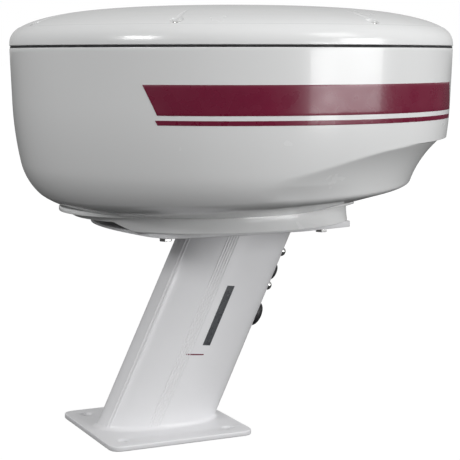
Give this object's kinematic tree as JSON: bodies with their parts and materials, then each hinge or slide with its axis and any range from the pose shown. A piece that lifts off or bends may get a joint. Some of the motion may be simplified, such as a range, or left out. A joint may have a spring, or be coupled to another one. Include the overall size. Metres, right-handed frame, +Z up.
{
  "type": "radar dome antenna",
  "caption": "Enclosed marine radar antenna: two-part dome with a scooped front, turning array inside, on a raked aluminium tower mount.",
  "frame": {"origin": "middle of the deck bolt pattern, on the base plate's underside", "axes": "+X the way the tower leans and the dome's scooped front, +Z up, away from the deck"},
  "size_m": [0.521, 0.521, 0.497],
  "materials": {
    "gelcoat": "gloss white moulded casing",
    "powder_white": "white powder coat, satin gloss",
    "seal_rubber": "matt",
    "plug_rubber": "satin",
    "stainless": "polished stainless",
    "brass": "turned",
    "cast_aluminium": "die-cast, bead blasted",
    "bearing_steel": "ground",
    "zinc_steel": "zinc plated",
    "nylon_black": "moulded nylon",
    "nylon_white": "moulded nylon",
    "belt_rubber": "toothed belt",
    "board_green": "solder mask",
    "winding": "wound transformer",
    "magnet_grey": "ground magnet",
    "tin_can": "tinned sheet",
    "motor_black": "black end bells",
    "array_cream": "foam-backed radiating face",
    "frame_aluminium": "bent sheet",
    "band_maroon": "cast vinyl film",
    "label_grey": "printed film"
  },
  "bodies": {
    "fixed": {"base_plate": "powder_white", "tower_tube": "powder_white", "top_plate": "powder_white", "rivet_nuts": "zinc_steel", "front_screws": "stainless", "small_plug": "plug_rubber", "cable_plug": "plug_rubber", "tube_label": "label_grey", "side_band": "band_maroon", "mounting_bolts": "stainless", "bolt_washers": "stainless", "foot_inserts": "brass", "lower_casing": "gelcoat", "casing_seal": "seal_rubber", "cover_inserts": "brass", "cable_gland": "nylon_black", "gland_nut": "nylon_black", "breather_vent": "nylon_black", "chassis": "cast_aluminium", "chassis_screws": "zinc_steel", "bearing_housing": "cast_aluminium", "housing_screws": "zinc_steel", "lower_bearing": "bearing_steel", "upper_bearing": "bearing_steel", "bearing_spacer": "cast_aluminium", "bearing_circlip": "zinc_steel", "rotary_joint": "brass", "waveguide_run": "brass", "circulator": "tin_can", "magnetron": "tin_can", "magnetron_magnet": "magnet_grey", "launch_guide": "brass", "receiver_module": "cast_aluminium", "receiver_guide": "brass", "screening_can": "tin_can", "modulator_board": "board_green", "pulse_transformer": "winding", "processor_board": "board_green", "power_board": "board_green", "board_pillars": "brass", "connector_block": "nylon_white", "heading_sensor": "nylon_black", "drive_motor": "motor_black", "motor_screws": "zinc_steel", "drive_belt": "belt_rubber"},
    "cover": {"cover": "gelcoat", "cover_screws": "stainless"},
    "antenna": {"antenna_shaft": "zinc_steel", "driven_pulley": "nylon_white", "turntable": "frame_aluminium", "sensor_magnet": "magnet_grey", "antenna_frame": "frame_aluminium", "antenna_array": "array_cream", "horn_plates": "frame_aluminium", "feed_block": "brass", "feed_tube": "brass", "antenna_screws": "zinc_steel"},
    "motor_rotor": {"motor_shaft": "zinc_steel", "motor_pulley": "frame_aluminium"}
  },
  "joints": [
    {"name": "antenna_spin", "type": "hinge", "parent": "fixed", "child": "antenna", "pos_m": [0.0995, 0, 0.35], "axis": [0, 0, 1], "continuous": true},
    {"name": "motor_spin", "type": "hinge", "parent": "fixed", "child": "motor_rotor", "pos_m": [0.0075, 0, 0.35], "axis": [0, 0, 1], "continuous": true},
    {"name": "cover_lift", "type": "slide", "parent": "fixed", "child": "cover", "axis": [0, 0, 1], "range_m": [0, 0.2]}
  ],
  "couplings": [
    {"joint": "motor_spin", "follows": "antenna_spin", "ratio": 4.5}
  ]
}
